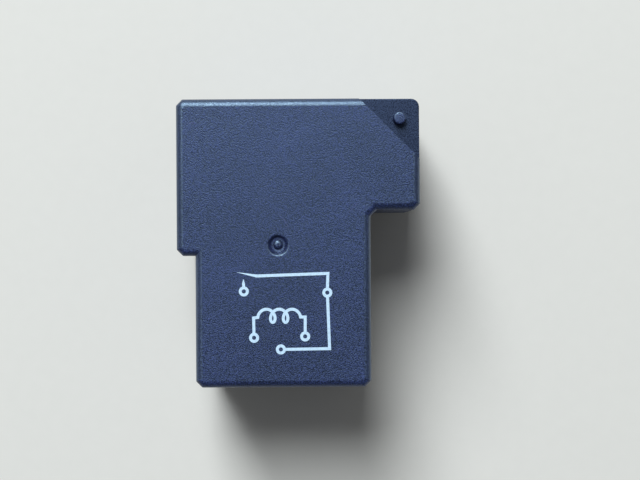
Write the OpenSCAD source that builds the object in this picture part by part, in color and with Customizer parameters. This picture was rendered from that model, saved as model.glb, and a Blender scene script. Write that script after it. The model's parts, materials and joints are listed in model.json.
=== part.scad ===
// Sealed power relay for a printed circuit board, with one normally open contact.
// The origin is the middle of the case outline, on the surface of the board.
// +X points to the contact side, +Y to the wide end of the case, +Z away from the board.
// All sizes are in millimetres. The armature is drawn released, with the contact open.

/* [Footprint] */
// Distance between the two coil pins
coil_pin_pitch = 10.16; // [7.62:0.01:11]
// Distance from the coil pins to the row of contact pins
row_pitch = 15.24; // [12.7:0.01:20.32]
// Distance from the yoke pin to the coil pins
yoke_pin_pitch = 2.54; // [2.3:0.01:3.81]
// Distance from the coil axis to the load pin
load_pin_offset = 7.62; // [7:0.01:9]
// Distance from the coil axis to the common pin
common_pin_offset = 10.16; // [9.9:0.01:11.5]
// How far the pins reach below the board's surface
pin_length = 3.5; // [2.5:0.1:6]
// Length of the tapered tip of each pin
pin_taper = 0.4; // [0.2:0.05:0.8]
// Diameter of the round coil pins
coil_pin_d = 1.0; // [0.8:0.05:1.2]
// Diameter of a coil pin's upper end, which the wire is wrapped round
post_d = 0.75; // [0.6:0.05:0.8]
// How far the collar of a coil pin stands out
pin_collar = 0.2; // [0.1:0.01:0.3]
// Width of the flat contact pins
blade_pin_w = 1.8; // [1.2:0.05:2.2]
// Width of the pin on the yoke
yoke_pin_w = 1.4; // [1:0.05:2]

/* [Case] */
// Distance from the contact pins to the front of the case
front_margin = 11.75; // [10.5:0.05:16]
// Distance from the yoke pin to the rear of the case
rear_margin = 2.97; // [2.6:0.01:6]
// Distance from the load pin to the right side of the case
load_margin = 7.82; // [7.3:0.01:10]
// Distance from the common pin to the left side of the case
common_margin = 1.85; // [1.6:0.01:4]
// Height of the case above the board
case_h = 20; // [18:0.1:28]
// Thickness of the side walls
wall = 0.9; // [0.6:0.05:1.1]
// Thickness of the top wall
top_wall = 1.0; // [0.6:0.05:1.6]
// How far the left wing stands out from the narrow part
left_step = 2.1; // [1.8:0.05:2.6]
// Length of the left wing, from the front of the case
left_wing_l = 17.65; // [17:0.05:19.5]
// How far the right wing stands out from the narrow part
right_step = 5.6; // [4.8:0.05:5.7]
// Length of the right wing, from the front of the case
right_wing_l = 12.6; // [11:0.05:13.5]
// Leg of the cut at each upright corner
corner_cut = 0.7; // [0.5:0.05:1.2]
// Radius of the edge round the top
edge_r = 0.75; // [0.2:0.05:0.85]

/* [Vent and gate] */
// Leg of the sunken corner that holds the vent nib
recess_leg = 6.85; // [5:0.05:8]
// Depth of the sunken corner
recess_depth = 1.5; // [0.8:0.1:2.2]
// Radius of the upright corner of the sunken part
recess_round = 0.9; // [0.6:0.05:1.2]
// Diameter of the vent nib
nib_d = 1.4; // [1.1:0.05:2]
// Height of the vent nib above the sunken corner
nib_h = 1.3; // [0.5:0.05:1.5]
// Width of the cut round the end of the nib
nib_cut = 0.2; // [0.05:0.05:0.4]
// Distance from the nib to both outer faces of the case
nib_inset = 2.25; // [1.9:0.05:2.6]
// Diameter of the vent passage that the nib closes
vent_d = 0.6; // [0.4:0.05:0.8]
// Place of the moulding gate, across the case
gate_x = -2.3; // [-6:0.1:4]
// Place of the moulding gate, along the case
gate_y = -0.25; // [-8:0.05:8]
// Diameter of the dimple round the gate
gate_d = 2.3; // [1.8:0.05:3]
// Width of the sloping side of the dimple
gate_slope = 0.15; // [0.05:0.05:0.3]
// Depth of the dimple round the gate
gate_depth = 0.45; // [0.2:0.05:0.5]
// Diameter of the stub that the gate leaves
gate_stub_d = 1.1; // [0.6:0.05:1.2]
// Height of the stub above the floor of the dimple
gate_stub_h = 0.3; // [0.1:0.05:0.4]

/* [Base and seal] */
// Depth of the resin's surface inside the rim of the case
rim_depth = 0.35; // [0.2:0.05:1]
// Thickness of the sealing resin
resin_t = 0.6; // [0.4:0.05:1.2]
// Thickness of the base plate
base_t = 2.0; // [1.6:0.1:3]
// Radius of the post that stops the released blade
stop_r = 1.3; // [0.8:0.05:1.5]
// Distance from the contact's axis to the post, along the blade
stop_offset = 4.5; // [3.8:0.1:7]
// How far the post reaches above the coil axis
stop_rise = 1.5; // [0:0.1:3]
// Leg of the fillet at the foot of the post
stop_foot = 0.8; // [0.4:0.05:1]
// Thickness of the ribs beside the yoke's foot
rib_t = 0.7; // [0.5:0.05:0.8]
// Height of the ribs beside the yoke's foot
rib_h = 1.2; // [0.6:0.1:1.6]

/* [Coil] */
// Thickness of the bobbin flanges
flange_t = 1.0; // [0.8:0.05:1.6]
// Radius of the corners of the bobbin flanges
flange_corner = 1.5; // [0.5:0.1:2.5]
// Room between the bobbin and the top wall
head_room = 0.8; // [0.4:0.05:2]
// Wall thickness of the bobbin's tube
tube_wall = 0.75; // [0.5:0.05:1]
// How far the flanges stand out past the winding
flange_lip = 0.5; // [0.3:0.05:1]
// Diameter of the winding's wire at the coil pins
wire_d = 0.25; // [0.1:0.01:0.3]
// Width of the blocks that hold the coil pins
block_w = 2.4; // [1.8:0.1:2.8]
// Distance from the coil pins to the front of their blocks
block_edge = 1.1; // [0.9:0.05:2]
// Diameter of the pegs under the front flange
peg_d = 0.8; // [0.5:0.05:1]
// Length of the pegs under the front flange
peg_l = 1.2; // [0.6:0.05:1.4]

/* [Magnet] */
// Diameter of the core
core_d = 6.0; // [5:0.1:7]
// Diameter of the pole shoe
shoe_d = 9.5; // [8:0.1:10.5]
// Thickness of the pole shoe
shoe_t = 1.2; // [0.8:0.05:2]
// Diameter of the core's spigot in the yoke
spigot_d = 4.4; // [3.5:0.1:4.8]
// Diameter of the riveted head behind the yoke
core_head_d = 6.2; // [5.2:0.1:7]
// Height of the riveted head behind the yoke
core_head_h = 0.7; // [0.4:0.05:0.9]
// Thickness of the yoke
yoke_t = 1.5; // [1.2:0.05:1.7]
// Distance from the top of the bobbin down to the top of the yoke
yoke_inset = 2.1; // [1.5:0.1:2.6]
// Inner radius of the yoke's bend
yoke_bend = 0.5; // [0.2:0.05:1]
// Distance from the coil axis to the end of the yoke's heel
heel_reach = 5; // [4:0.1:6]
// Width of the heel's foot on the base
foot_w = 6; // [4:0.1:7]
// Width of the yoke's tongue in the armature
tongue_w = 5; // [3:0.1:6]
// How far the tongue reaches into the armature
tongue_l = 0.9; // [0.5:0.05:0.95]
// Thickness of the armature
armature_t = 1.5; // [1.1:0.05:2]
// How far the armature reaches past the pole shoe
armature_edge = 1.0; // [0.2:0.05:1.5]
// Leg of the cuts at the armature's free end
armature_cut = 2.0; // [0.5:0.1:3]

/* [Contacts] */
// Thickness of the contact terminals
terminal_t = 0.9; // [0.7:0.05:1]
// Distance from the contact pins to the face of the load terminal
load_plate_offset = 3.1; // [2.6:0.05:3.6]
// Distance from the contact's axis to the right side of the case
contact_margin = 3.9; // [3.6:0.05:4.6]
// Diameter of the contact tips
contact_d = 4.4; // [3.4:0.1:4.6]
// Height of each contact tip
contact_h = 0.9; // [0.6:0.05:1.2]
// Leg of the bevel round each contact tip
contact_bevel = 0.3; // [0.1:0.05:0.4]
// Diameter of the contacts' shanks
shank_d = 2.0; // [1.4:0.1:2.4]
// Diameter of the contacts' riveted tails
tail_d = 3.0; // [2.6:0.1:3.4]
// Height of the contacts' riveted tails
tail_h = 0.45; // [0.3:0.05:0.6]
// Open gap between the contact tips
contact_gap = 1.6; // [1:0.05:2]
// Travel of the armature left after the tips meet
over_travel = 0.2; // [0.1:0.05:0.4]
// Edge that the blade and the load terminal leave round the contacts
contact_edge = 0.2; // [0.1:0.05:0.3]
// Thickness of the blade spring
spring_t = 0.3; // [0.2:0.02:0.4]
// Radius of the blade spring's bend
bend_r = 1.4; // [1.2:0.05:1.6]
// How much the blade is lower than the armature, on each side
blade_inset = 0.5; // [0:0.05:0.8]
// Length of the blade's taper from the armature to the contact
neck_l = 3; // [1.5:0.1:3.2]
// Distance from the left wing's wall to the clamped end of the spring
leg_gap = 0.9; // [0.3:0.05:1.2]
// Diameter of the rivets
rivet_d = 1.6; // [1.2:0.1:1.8]
// Diameter of the rivet heads
rivet_head_d = 2.6; // [2.2:0.1:3]
// Height of the rivet heads
rivet_head_h = 0.45; // [0.3:0.05:0.5]
// Distance from the base to the step of the common terminal
joggle_rise = 0.8; // [0.2:0.05:1]
// Height of the step of the common terminal
joggle_h = 1.4; // [0.8:0.05:1.6]

/* [Fits] */
// Clearance of the base inside the case
base_fit = 0.05; // [0.02:0.01:0.15]
// Clearance round the pins and pegs in the base
slot_fit = 0.05; // [0.02:0.01:0.15]
// Clearance of the yoke in the narrow part of the case
yoke_fit = 0.2; // [0.1:0.05:0.3]
// Clearance of shanks, cores and wire on what they fill
press_fit = 0.02; // [0.01:0.01:0.05]
// Clearance between neighbouring pieces inside
part_gap = 0.25; // [0.15:0.05:0.4]
// Clearance of the released blade at its stop
stop_gap = 0.05; // [0.02:0.01:0.1]

/* [Hidden] */
$fn = 48;
// How far a cut runs past the solid that it opens
past = 1;
// Flat steps in the rounded top edge, in the round corner and in each half of the spring's bend
edge_steps = 6;
round_steps = 6;
bend_steps = 10;

// Faces of the case
case_w = common_margin + common_pin_offset + load_pin_offset + load_margin;
case_l = rear_margin + yoke_pin_pitch + row_pitch + front_margin;
left = -case_w / 2;
right = case_w / 2;
rear = -case_l / 2;
front = case_l / 2;
narrow_left = left + left_step;
narrow_right = right - right_step;
left_wing_y = front - left_wing_l;
right_wing_y = front - right_wing_l;
ceiling_z = case_h - top_wall;
recess_z = case_h - recess_depth;

// Pins
common_x = left + common_margin;
coil_x = common_x + common_pin_offset;
load_x = coil_x + load_pin_offset;
yoke_pin_y = rear + rear_margin;
coil_row_y = yoke_pin_y + yoke_pin_pitch;
contact_row_y = coil_row_y + row_pitch;
load_left_x = load_x - blade_pin_w / 2;
collar_d = coil_pin_d + 2 * pin_collar;
collar_z = rim_depth - pin_collar;

// Levels from the board up
base_z = rim_depth + resin_t;
floor_z = base_z + base_t;
flange_h = ceiling_z - head_room - floor_z;
axis_z = floor_z + flange_h / 2;

// Contact stack, from the load terminal to the pole face
load_front_y = contact_row_y + load_plate_offset;
load_back_y = load_front_y - terminal_t;
fixed_face_y = load_front_y + contact_h;
pole_y = fixed_face_y + contact_h - over_travel - armature_t;
blade_y = pole_y + armature_t;

// Yoke and coil
yoke_out_x = narrow_left + wall + yoke_fit;
yoke_in_x = yoke_out_x + yoke_t;
yoke_half = flange_h / 2 - yoke_inset;
heel_back_y = yoke_pin_y - yoke_t / 2;
heel_front_y = yoke_pin_y + yoke_t / 2;
flange_half = min(coil_x - yoke_in_x, load_left_x - coil_x) - part_gap;
front_flange_y = pole_y - shoe_t - flange_t;
tube_r = core_d / 2 + press_fit + tube_wall;
winding_r = min(flange_half, flange_h / 2) - flange_lip;
winding_y = heel_front_y + flange_t;
winding_l = front_flange_y - winding_y;

// Wire ends: each is wrapped round a coil pin that ends below the winding
wrap_turns = 3;
wrap_pitch = wire_d * 0.8;
wrap_r = post_d / 2 + press_fit + wire_d / 2;
wrap_h = (wrap_turns - 1) * wrap_pitch + wire_d;
lead_x = coil_pin_pitch / 2 - wrap_r;
lead_top_z = axis_z - sqrt(max(pow(winding_r, 2) - pow(lead_x - wire_d / 2, 2), 0));
solder_h = wire_d;
post_z = lead_top_z - part_gap - solder_h;
block_h = post_z - wrap_h - wire_d - floor_z;
peg_offset = flange_half / 2;

// Swing of the armature about the yoke's outer front edge
hinge = [yoke_out_x, pole_y];
contact_x = right - contact_margin;
lever = contact_x - yoke_out_x;
open_angle = asin((contact_gap + over_travel) / lever);
armature_end_x = coil_x + shoe_d / 2 + armature_edge;
blade_end_x = contact_x + contact_d / 2 + contact_edge;
blade_half = yoke_half - blade_inset;
tip_half = contact_d / 2 + 2 * contact_edge;
rivet_rise = (yoke_half + rivet_head_d / 2) / 2 - rivet_head_d / 4;
rivet_sink_h = (rivet_head_d - rivet_d) / 2;

// Common terminal, clamped with the spring's leg on the yoke
leg_end_y = left_wing_y + wall + leg_gap;
common_plate_x = yoke_out_x - spring_t;
common_end_y = contact_row_y + blade_pin_w / 2;
common_top_z = axis_z + blade_half - blade_inset;
joggle_low_z = floor_z + joggle_rise;
joggle_high_z = joggle_low_z + joggle_h;
yoke_rivet_y = (leg_end_y + common_end_y) / 2;

function rise(t) = t * t * (3 - 2 * t);
function turned(p, c, a) = let (d = p - c)
    c + [d[0] * cos(a) - d[1] * sin(a), d[0] * sin(a) + d[1] * cos(a)];
function arc(c, r, a0, a1, n) = [for (i = [1:n]) let (a = a0 + (a1 - a0) * i / n) c + r * [cos(a), sin(a)]];
function reversed(list) = [for (i = [len(list) - 1:-1:0]) list[i]];
function direction(line, i) = let (d = line[min(i + 1, len(line) - 1)] - line[max(i - 1, 0)]) d / norm(d);
// Points that lie d to the left of a line's own points
function beside(line, d) = [
    for (i = [0:len(line) - 1]) let (u = direction(line, i)) line[i] + d * [-u[1], u[0]]
];

// Case outline pulled in by d, anticlockwise from the rear left corner
mitre = 2 - sqrt(2);
least_cut = corner_cut / 20;
function case_outline(d) = let (
    c = max(corner_cut - d * mitre, least_cut),
    k = corner_cut + d * mitre,
    q = max(recess_round - d * mitre, least_cut),
    l = left + d, r = right - d, b = rear + d, f = front - d,
    nl = narrow_left + d, nr = narrow_right - d, lw = left_wing_y + d, rw = right_wing_y + d
) concat(
    [[nl + c, b], [nr - c, b], [nr, b + c], [nr, rw - k], [nr + k, rw], [r - c, rw], [r, rw + c], [r, f - q]],
    arc([r - q, f - q], q, 0, 90, round_steps),
    [[l + c, f], [l, f - c], [l, lw + c], [l + c, lw], [nl, lw], [nl, b + c]]
);
// The outline bends inwards at both wings, so its flat ends are made of three convex pieces
left_front = 8 + round_steps;
outline_pieces = [
    [left_front + 4, left_front + 5, 0, 1, 2, 3],
    [4, left_front + 1, left_front + 2, left_front + 3, left_front + 4, 3],
    [for (i = [4:left_front + 1]) i]
];

module along_x(p) translate(p) rotate([0, 90, 0]) children();
module along_y(p) translate(p) rotate([-90, 0, 0]) children();
// A plate drawn in x and z, from y0 to y0 + t
module upright(y0, t) translate([0, y0 + t, 0]) rotate([90, 0, 0]) linear_extrude(t) children();
// A plate drawn in y and z, from x0 to x0 + t
module sideways(x0, t) translate([x0, 0, 0]) rotate([90, 0, 90]) linear_extrude(t) children();
// Turns what is drawn for the closed armature to its released place
module released() translate([hinge[0], hinge[1], 0]) rotate(open_angle)
    translate([-hinge[0], -hinge[1], 0]) children();
module at_coil_pin(side) translate([coil_x + side * coil_pin_pitch / 2, coil_row_y, 0]) children();
module coil_pin_places() for (s = [-1, 1]) at_coil_pin(s) children();
module peg_places() for (s = [-1, 1])
    translate([coil_x + s * peg_offset, front_flange_y + flange_t / 2, floor_z - peg_l]) children();
module armature_rivet_places() for (s = [-1, 1])
    along_y([coil_x, pole_y, axis_z + s * rivet_rise]) children();
module yoke_rivet_places() for (s = [-1, 1])
    along_x([common_plate_x - terminal_t, yoke_rivet_y, axis_z + s * rivet_rise]) children();

module rounded(w, h, r) {
    square([w - 2 * r, h], center = true);
    square([w, h - 2 * r], center = true);
    for (x = [-1, 1], y = [-1, 1]) translate([x * (w / 2 - r), y * (h / 2 - r)]) circle(r);
}

// A flat pin with a tapered tip, drawn from its tip up to z1
module flat_pin_outline(x, w, z1) polygon([
    [x - w / 2, z1], [x - w / 2, pin_taper - pin_length], [x - w / 4, -pin_length],
    [x + w / 4, -pin_length], [x + w / 2, pin_taper - pin_length], [x + w / 2, z1]
]);

// Solid block of the case, with its top edge rounded in flat steps
module case_block() {
    n = len(case_outline(0));
    rings = [
        [0, 0],
        for (i = [0:edge_steps]) let (a = 90 * i / edge_steps)
            [edge_r * (1 - cos(a)), case_h - edge_r + edge_r * sin(a)]
    ];
    last = len(rings) - 1;
    polyhedron(
        points = [for (ring = rings) for (p = case_outline(ring[0])) [p[0], p[1], ring[1]]],
        faces = [
            for (piece = outline_pieces) piece,
            for (piece = outline_pieces) [for (i = reversed(piece)) last * n + i],
            for (j = [0:last - 1], i = [0:n - 1])
                [j * n + i, (j + 1) * n + i, (j + 1) * n + (i + 1) % n, j * n + (i + 1) % n]
        ]
    );
}

// Front right corner of the case beyond a slanting line, from z0 up
module corner_wedge(leg, z0) translate([0, 0, z0]) linear_extrude(case_h) polygon([
    [right - leg - past, front + past], [right + past, front - leg - past], [right + past, front + past]
]);

module nib_axis(z) translate([right - nib_inset, front - nib_inset, z]) children();

// Nib that closes the vent, from the middle of the wall under it up
module nib() {
    shank = top_wall / 2 + nib_h - nib_cut;
    cylinder(d = nib_d, h = shank);
    translate([0, 0, shank]) cylinder(d1 = nib_d, d2 = nib_d - 2 * nib_cut, h = nib_cut);
}

// Ring-shaped dimple that leaves the stub of the moulding gate in its middle
module gate_dimple() difference() {
    cylinder(d1 = gate_d - 2 * gate_slope, d2 = gate_d + 2 * gate_slope, h = 2 * gate_depth);
    cylinder(d1 = gate_stub_d, d2 = gate_stub_d - gate_stub_h, h = gate_stub_h);
}

module cover() color("#35456a") difference() {
    union() {
        difference() {
            case_block();
            corner_wedge(recess_leg, recess_z);
        }
        nib_axis(recess_z - top_wall / 2) nib();
    }
    difference() {
        translate([0, 0, -past]) linear_extrude(ceiling_z + past) polygon(case_outline(wall));
        corner_wedge(recess_leg + wall * sqrt(2), recess_z - top_wall);
    }
    nib_axis(recess_z - top_wall - past) cylinder(d = vent_d, h = past + top_wall + nib_h / 2);
    translate([gate_x, gate_y, case_h - gate_depth]) gate_dimple();
}

// Slots for the flat pins and holes for the collars of the round ones
module pin_openings(fit) {
    translate([load_x, contact_row_y]) square([blade_pin_w + 2 * fit, terminal_t + 2 * fit], center = true);
    translate([common_x, contact_row_y]) square([terminal_t + 2 * fit, blade_pin_w + 2 * fit], center = true);
    translate([coil_x, yoke_pin_y]) square([yoke_pin_w + 2 * fit, yoke_t + 2 * fit], center = true);
    coil_pin_places() circle(d = collar_d + 2 * fit);
}

// Block that backs the load terminal up against the blow of the closing contact
module load_tower() {
    x0 = load_x + blade_pin_w / 2 + blade_pin_w / 4;
    y0 = right_wing_y + wall + part_gap;
    top_z = axis_z - max(contact_d, tail_d) / 2 - contact_edge;
    translate([x0, y0, base_z]) cube([right - wall - part_gap - x0, load_back_y - y0, top_z - base_z]);
}

// Post that the released blade leans on
module blade_stop() {
    at = turned(hinge + [lever - stop_offset, armature_t + spring_t + stop_gap + stop_r], hinge, open_angle);
    translate([at[0], at[1], base_z]) cylinder(r = stop_r, h = axis_z + stop_rise - base_z);
    translate([at[0], at[1], floor_z]) cylinder(r1 = stop_r + stop_foot, r2 = stop_r, h = stop_foot);
}

module base() color("#1c1d21") difference() {
    union() {
        translate([0, 0, base_z]) linear_extrude(base_t) polygon(case_outline(wall + base_fit));
        load_tower();
        blade_stop();
        for (x = [coil_x - foot_w / 2 - slot_fit - rib_t, coil_x + foot_w / 2 + slot_fit])
            translate([x, heel_back_y, base_z]) cube([rib_t, yoke_t, base_t + rib_h]);
    }
    translate([0, 0, base_z - past]) linear_extrude(base_t + 2 * past) pin_openings(slot_fit);
    peg_places() translate([0, 0, -slot_fit]) cylinder(d = peg_d + 2 * slot_fit, h = peg_l + past);
}

// Potting that closes the underside round the pins
module sealing_resin() color("#15161a") translate([0, 0, rim_depth]) linear_extrude(resin_t) difference() {
    polygon(case_outline(wall));
    pin_openings(press_fit);
}

// Former of the coil, with a block for each coil pin under its rear flange
module bobbin() color("#e9e4d6") difference() {
    union() {
        for (y = [heel_front_y, front_flange_y]) along_y([coil_x, y, axis_z]) linear_extrude(flange_t)
            rounded(2 * flange_half, flange_h, flange_corner);
        along_y([coil_x, heel_front_y, axis_z]) cylinder(r = tube_r, h = front_flange_y - heel_front_y);
        for (s = [-1, 1]) translate([coil_x + s * coil_pin_pitch / 2 - block_w / 2, heel_front_y, floor_z])
            cube([block_w, coil_row_y + block_edge - heel_front_y, block_h]);
        peg_places() cylinder(d = peg_d, h = 2 * peg_l);
    }
    along_y([coil_x, heel_front_y - past, axis_z])
        cylinder(d = core_d + 2 * press_fit, h = front_flange_y + flange_t - heel_front_y + 2 * past);
    coil_pin_places() {
        translate([0, 0, floor_z - past]) cylinder(d = post_d + 2 * press_fit, h = block_h + 2 * past);
        translate([0, 0, floor_z + block_h])
            cylinder(r = wrap_r + wire_d, h = lead_top_z - floor_z - block_h);
    }
}

// Turns of wire on the bobbin, with both ends led down and wrapped round the coil pins
module winding() color("#b5622c") {
    along_y([coil_x, winding_y + press_fit, axis_z]) rotate_extrude() translate([tube_r + press_fit, 0])
        square([winding_r - tube_r - press_fit, winding_l - 2 * press_fit]);
    coil_pin_places() translate([0, 0, post_z - wrap_h]) rotate_extrude() for (i = [0:wrap_turns - 1])
        translate([wrap_r, wire_d / 2 + i * wrap_pitch]) circle(d = wire_d);
    for (s = [-1, 1]) translate([coil_x + s * lead_x, coil_row_y, post_z - wire_d])
        cylinder(d = wire_d, h = lead_top_z + 2 * wire_d - post_z);
}

// Solder on the end of a coil pin, where the wire is joined
module lead_solder(side) color("#b9bcc0") at_coil_pin(side) translate([0, 0, post_z])
    cylinder(d1 = post_d, d2 = post_d / 2, h = solder_h);

// Round pin with a collar that the base and the resin hold, and a thinner post for the wire
module coil_pin(side) color("#c9ccd0") at_coil_pin(side) {
    translate([0, 0, -pin_length]) cylinder(d1 = coil_pin_d / 2, d2 = coil_pin_d, h = pin_taper);
    translate([0, 0, pin_taper - pin_length]) cylinder(d = coil_pin_d, h = base_z + pin_length - pin_taper);
    translate([0, 0, collar_z]) cylinder(d = collar_d, h = floor_z - collar_z);
    translate([0, 0, base_z]) cylinder(d = post_d, h = post_z - base_z);
}

// Core with a pole shoe in front and a spigot that is riveted over behind the yoke
module core() color("#9a9da2") {
    along_y([coil_x, heel_back_y - core_head_h, axis_z])
        cylinder(d1 = spigot_d, d2 = core_head_d, h = core_head_h);
    along_y([coil_x, heel_back_y, axis_z]) cylinder(d = spigot_d, h = yoke_t);
    along_y([coil_x, heel_front_y, axis_z]) cylinder(d = core_d, h = pole_y - shoe_t - heel_front_y);
    along_y([coil_x, pole_y - shoe_t, axis_z]) cylinder(d = shoe_d, h = shoe_t);
}

// Section of the bent yoke, seen from above
module yoke_outline() {
    outer = yoke_t + yoke_bend;
    translate([yoke_out_x, heel_back_y]) difference() {
        union() {
            square([yoke_t, pole_y - heel_back_y]);
            square([coil_x + heel_reach - yoke_out_x, yoke_t]);
            square(outer);
        }
        difference() {
            translate([-past, -past]) square(outer + past);
            translate([outer, outer]) circle(outer);
        }
        translate([outer, outer]) circle(yoke_bend);
    }
}

// Bent plate that leads the field from the heel of the core to the hinge of the armature
module yoke() color("#aeb1b5") difference() {
    union() {
        translate([0, 0, axis_z - yoke_half]) linear_extrude(2 * yoke_half) yoke_outline();
        sideways(yoke_out_x, yoke_t) translate([pole_y - past, axis_z - tongue_w / 2])
            square([tongue_l + past, tongue_w]);
        upright(heel_back_y, yoke_t) {
            translate([coil_x - foot_w / 2, floor_z]) square([foot_w, axis_z - floor_z]);
            flat_pin_outline(coil_x, yoke_pin_w, floor_z + past);
        }
    }
    along_y([coil_x, heel_back_y - past, axis_z])
        cylinder(d = spigot_d + 2 * press_fit, h = yoke_t + 2 * past);
    yoke_rivet_places() cylinder(d = rivet_d + 2 * press_fit, h = terminal_t + spring_t + yoke_t + past);
}

// Flat clapper, notched round the yoke's tongue
module armature() color("#a6a9ad") released() difference() {
    upright(pole_y, armature_t) translate([0, axis_z]) polygon([
        [yoke_out_x, -yoke_half], [armature_end_x - armature_cut, -yoke_half],
        [armature_end_x, armature_cut - yoke_half], [armature_end_x, yoke_half - armature_cut],
        [armature_end_x - armature_cut, yoke_half], [yoke_out_x, yoke_half]
    ]);
    upright(pole_y - past, armature_t + 2 * past)
        translate([yoke_out_x - past, axis_z - tongue_w / 2 - part_gap])
            square([past + yoke_t + part_gap, tongue_w + 2 * part_gap]);
    armature_rivet_places() {
        cylinder(d = rivet_d + 2 * press_fit, h = armature_t + past);
        cylinder(
            d1 = rivet_head_d + 2 * press_fit, d2 = rivet_d + 2 * press_fit, h = rivet_sink_h + press_fit
        );
    }
}

// Rivets that clamp the blade to the armature, sunk flush on the pole side
module armature_rivets() color("#c2a25c") released() armature_rivet_places() {
    cylinder(d1 = rivet_head_d, d2 = rivet_d, h = rivet_sink_h);
    cylinder(d = rivet_d, h = armature_t + spring_t);
    translate([0, 0, armature_t + spring_t]) cylinder(d1 = rivet_head_d, d2 = rivet_d, h = rivet_head_h);
}

// Middle line of the blade spring, from its free end round the hinge to its clamped end.
// The bend is drawn for the closed armature, and is opened step by step towards the blade.
bend_back = 60;
bend_c1 = [yoke_out_x - spring_t / 2, blade_y + spring_t / 2 - bend_r];
bend_c2 = bend_c1 - 2 * bend_r * [cos(bend_back), sin(bend_back)];
bend_line = concat(
    [bend_c1 + [0, bend_r]],
    arc(bend_c1, bend_r, 90, 180 + bend_back, bend_steps),
    arc(bend_c2, bend_r, bend_back, 0, bend_steps)
);
bend_last = len(bend_line) - 1;
function opened(p, share) = turned(p, hinge, open_angle * rise(share));
spring_line = concat(
    [opened([blade_end_x, blade_y + spring_t / 2], 1)],
    [for (i = [0:bend_last]) opened(bend_line[i], 1 - i / bend_last)],
    [[yoke_out_x - spring_t / 2, leg_end_y]]
);

// What is cut from the blade: its taper down to the contact, and the holes in it
module blade_cut() {
    neck_x = armature_end_x + contact_edge;
    upright(blade_y - past, spring_t + 2 * past) translate([0, axis_z]) for (s = [-1, 1]) polygon([
        [neck_x, s * (blade_half + past)], [neck_x, s * blade_half], [neck_x + neck_l, s * tip_half],
        [blade_end_x - corner_cut, s * tip_half], [blade_end_x + past, s * (tip_half - corner_cut - past)],
        [blade_end_x + past, s * (blade_half + past)]
    ]);
    armature_rivet_places() cylinder(d = rivet_d + 2 * press_fit, h = armature_t + spring_t + past);
    along_y([contact_x, blade_y - past, axis_z])
        cylinder(d = shank_d + 2 * press_fit, h = spring_t + 2 * past);
}

// L-shaped blade spring, cut open at its bend so that two legs flex beside the tongue
module movable_spring() color("#c98f55") difference() {
    translate([0, 0, axis_z - blade_half]) linear_extrude(2 * blade_half)
        polygon(concat(beside(spring_line, spring_t / 2), reversed(beside(spring_line, -spring_t / 2))));
    released() blade_cut();
    translate([yoke_out_x - 2 * bend_r, bend_c2[1] + part_gap, axis_z - tongue_w / 2])
        cube([2 * bend_r + yoke_t, blade_y + 2 * bend_r - bend_c2[1], tongue_w]);
    yoke_rivet_places() cylinder(d = rivet_d + 2 * press_fit, h = terminal_t + spring_t + past);
}

// A contact rivet: its tip, then its shank through a plate of thickness t, then its tail
module contact_rivet(t) {
    cylinder(d1 = contact_d - 2 * contact_bevel, d2 = contact_d, h = contact_bevel);
    translate([0, 0, contact_bevel]) cylinder(d = contact_d, h = contact_h - contact_bevel);
    translate([0, 0, contact_h]) cylinder(d = shank_d, h = t);
    translate([0, 0, contact_h + t]) cylinder(d1 = tail_d, d2 = shank_d, h = tail_h);
}

module moving_contact() color("#dcdcd6") released()
    along_y([contact_x, blade_y - contact_h, axis_z]) contact_rivet(spring_t);

module fixed_contact() color("#dcdcd6")
    along_y([contact_x, fixed_face_y, axis_z]) rotate([180, 0, 0]) contact_rivet(terminal_t);

// Upright plate of the load terminal, which rises from the pin's side to the contact
module load_plate_outline() {
    end_x = contact_x + contact_d / 2 + contact_edge;
    top_z = axis_z + tip_half;
    polygon([
        [load_left_x, floor_z], [end_x, floor_z], [end_x, top_z - corner_cut], [end_x - corner_cut, top_z],
        [contact_x - contact_d / 2 - contact_edge, top_z], [load_left_x, axis_z - tip_half]
    ]);
}

// Stamped terminal: pin through the base, foot along its floor, and a plate for the fixed contact
module load_terminal() color("#c07a4a") difference() {
    union() {
        upright(contact_row_y - terminal_t / 2, terminal_t)
            flat_pin_outline(load_x, blade_pin_w, floor_z + terminal_t);
        translate([load_left_x, contact_row_y - terminal_t / 2, floor_z])
            cube([blade_pin_w, load_front_y - contact_row_y + terminal_t / 2, terminal_t]);
        upright(load_back_y, terminal_t) load_plate_outline();
    }
    along_y([contact_x, load_back_y - past, axis_z])
        cylinder(d = shank_d + 2 * press_fit, h = terminal_t + 2 * past);
}

// Stamped terminal riveted on the yoke, stepped outwards to its pin
module common_terminal() color("#c07a4a") difference() {
    union() {
        sideways(common_plate_x - terminal_t, terminal_t) polygon([
            [leg_end_y, joggle_high_z + joggle_h], [common_end_y - blade_pin_w, joggle_high_z],
            [common_end_y, joggle_high_z], [common_end_y, common_top_z - corner_cut],
            [common_end_y - corner_cut, common_top_z], [leg_end_y + corner_cut, common_top_z],
            [leg_end_y, common_top_z - corner_cut]
        ]);
        upright(contact_row_y - blade_pin_w / 2, blade_pin_w) polygon([
            [common_plate_x - terminal_t, joggle_high_z + past], [common_plate_x - terminal_t, joggle_high_z],
            [common_x - terminal_t / 2, joggle_low_z], [common_x - terminal_t / 2, pin_taper - pin_length],
            [common_x - terminal_t / 4, -pin_length], [common_x + terminal_t / 4, -pin_length],
            [common_x + terminal_t / 2, pin_taper - pin_length], [common_x + terminal_t / 2, joggle_low_z],
            [common_plate_x, joggle_high_z], [common_plate_x, joggle_high_z + past]
        ]);
    }
    yoke_rivet_places() translate([0, 0, -past])
        cylinder(d = rivet_d + 2 * press_fit, h = terminal_t + 2 * past);
}

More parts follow.
